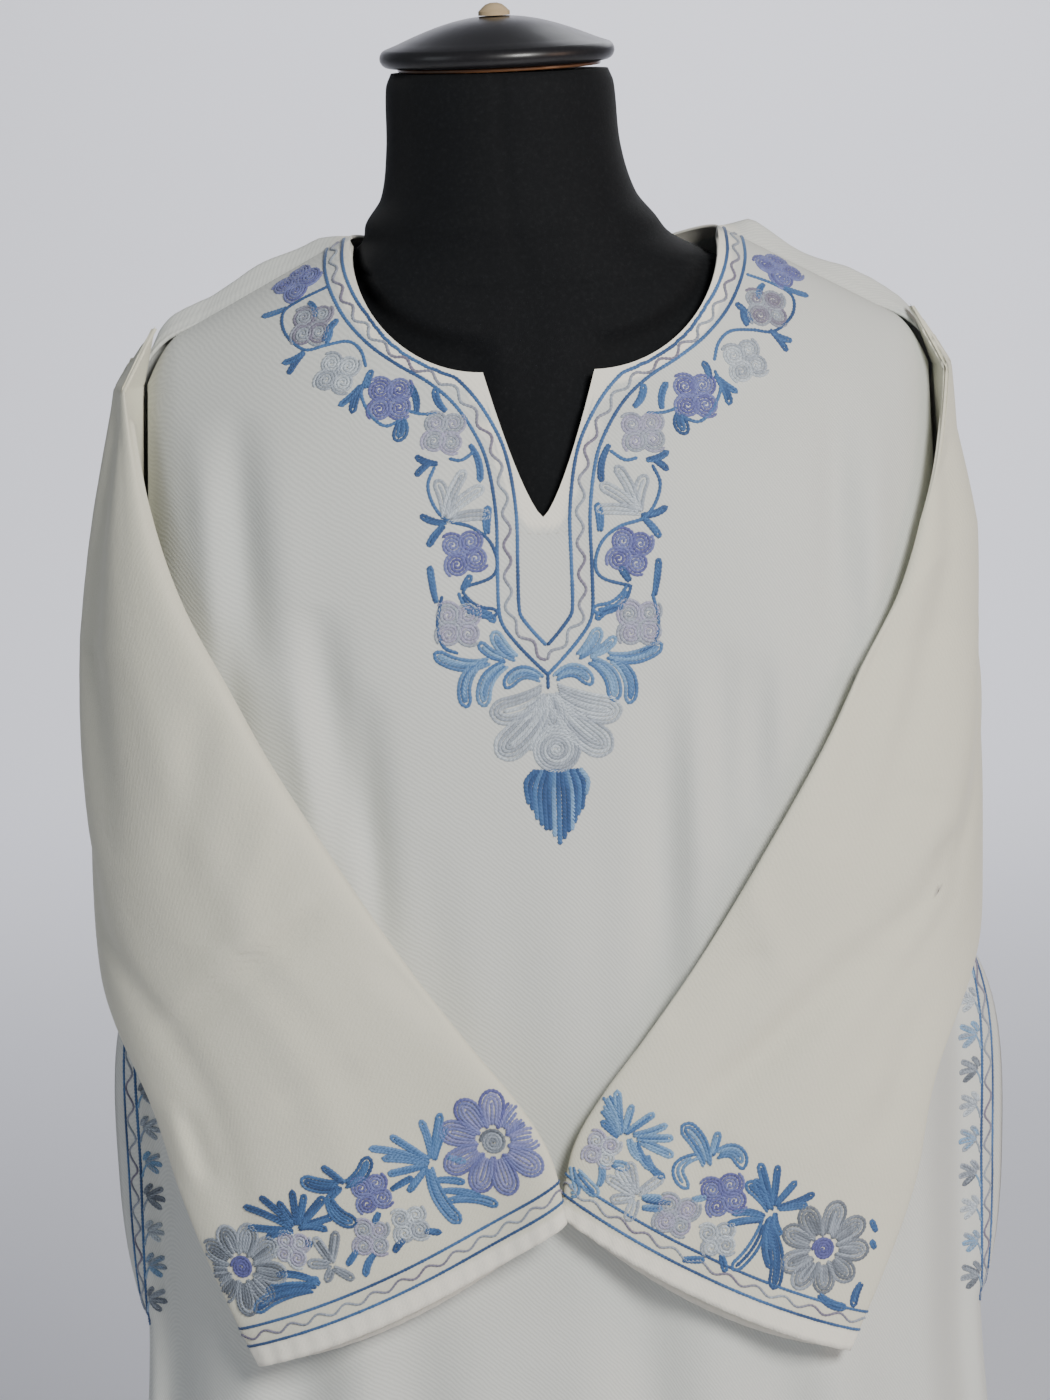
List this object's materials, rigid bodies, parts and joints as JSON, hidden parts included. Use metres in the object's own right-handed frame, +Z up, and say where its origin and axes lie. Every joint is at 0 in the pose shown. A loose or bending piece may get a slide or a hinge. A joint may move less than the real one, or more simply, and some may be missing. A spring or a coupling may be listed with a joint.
{
  "type": "embroidered pheran on a limbless dress form with a round stand",
  "caption": "Loose long tunic with wide sleeves folded across the front, worn by a limbless dress form on a pole and a round base.",
  "frame": {"origin": "middle of the underside of the stand's round base, on the floor", "axes": "+Z up along the pole, the garment's front faces -Y, +X to the wearer's left"},
  "size_m": [0.568, 0.34, 1.5243],
  "materials": {
    "wool": "brushed cream wool twill",
    "pocketing": "plain cream cloth",
    "black_jersey": "tight black knit",
    "black_lacquer": "glossy black lacquer over turned wood",
    "varnished_wood": "varnished",
    "raw_wood": "raw, broken off",
    "black_steel": "satin black paint"
  },
  "bodies": {
    "root": {"front_panel": "wool", "back_panel": "wool", "sleeve_left": "wool", "sleeve_right": "wool", "pocket_bag_left": "pocketing", "pocket_bag_right": "pocketing", "form_torso": "black_jersey", "neck_plate": "varnished_wood", "neck_cap": "black_lacquer", "cap_stub": "raw_wood", "stand_pole": "black_steel", "stand_base": "black_steel"}
  },
  "joints": []
}
